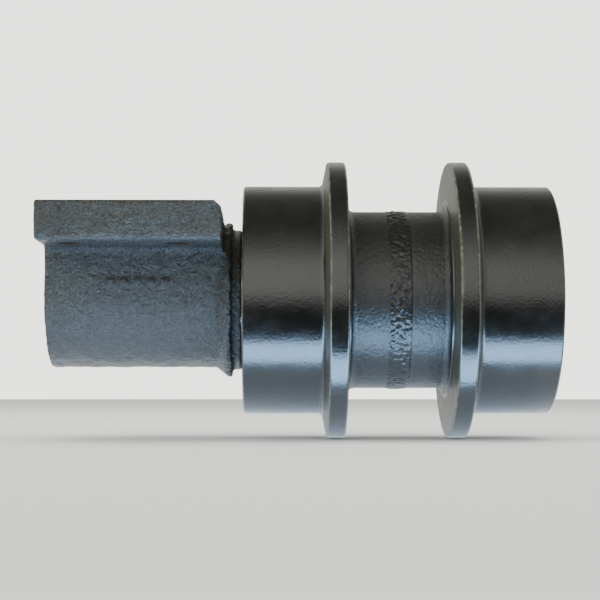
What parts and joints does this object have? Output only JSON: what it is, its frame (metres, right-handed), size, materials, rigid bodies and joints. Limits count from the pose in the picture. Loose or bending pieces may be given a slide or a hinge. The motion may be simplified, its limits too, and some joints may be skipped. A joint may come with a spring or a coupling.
{
  "type": "track roller",
  "caption": "Cantilever track roller: a cast bolt-on bracket holds one end of a fixed shaft, and a twin-flange steel roller turns on it in sealed oil.",
  "frame": {"origin": "centre of the four bolt holes, in the plane of the two machined mounting pads", "axes": "+Z out of the mounting pads, up towards the track frame; +X along the roller's axis, from the bracket to the roller's outer end; +Y across the bracket"},
  "size_m": [0.3045, 0.17, 0.17],
  "materials": {
    "bracket_casting": "semi-gloss black paint over a sand casting, machined bright on the mounting pads",
    "shaft_steel": "turned steel, darkened and oiled",
    "pin_steel": "ground spring steel",
    "seal_iron": "hard cast iron with a lapped face",
    "seal_rubber": "matt black nitrile rubber",
    "roller_paint": "semi-gloss black paint over a turned forging",
    "weld_paint": "black paint over a rough weld bead",
    "bush_bronze": "bronze on a steel back, satin",
    "plate_steel": "turned steel, satin",
    "screw_steel": "black oxide steel",
    "washer_steel": "spring steel, satin",
    "cover_paint": "semi-gloss black paint over turned steel",
    "ring_steel": "phosphated spring steel",
    "plug_steel": "zinc plated steel",
    "washer_copper": "annealed copper, satin"
  },
  "bodies": {
    "bracket_body": {"bracket": "bracket_casting", "shaft": "shaft_steel", "shaft_lock_pin": "pin_steel", "shaft_o_ring": "seal_rubber", "fixed_seal_ring": "seal_iron", "fixed_seal_toric": "seal_rubber", "thrust_plate": "plate_steel", "thrust_plate_screws": "screw_steel", "thrust_plate_lock_washers": "washer_steel"},
    "roller_body": {"turning_seal_ring": "seal_iron", "turning_seal_toric": "seal_rubber", "inner_roller_half": "roller_paint", "outer_roller_half": "roller_paint", "barrel_weld": "weld_paint", "inner_bush": "bush_bronze", "outer_bush": "bush_bronze", "end_cover": "cover_paint", "end_cover_o_ring": "seal_rubber", "end_cover_snap_ring": "ring_steel", "oil_plug": "plug_steel", "oil_plug_washer": "washer_copper"}
  },
  "joints": [
    {"name": "roller_spin", "type": "hinge", "parent": "bracket_body", "child": "roller_body", "pos_m": [0.1615, 0, -0.052], "axis": [1, 0, 0], "continuous": true}
  ]
}
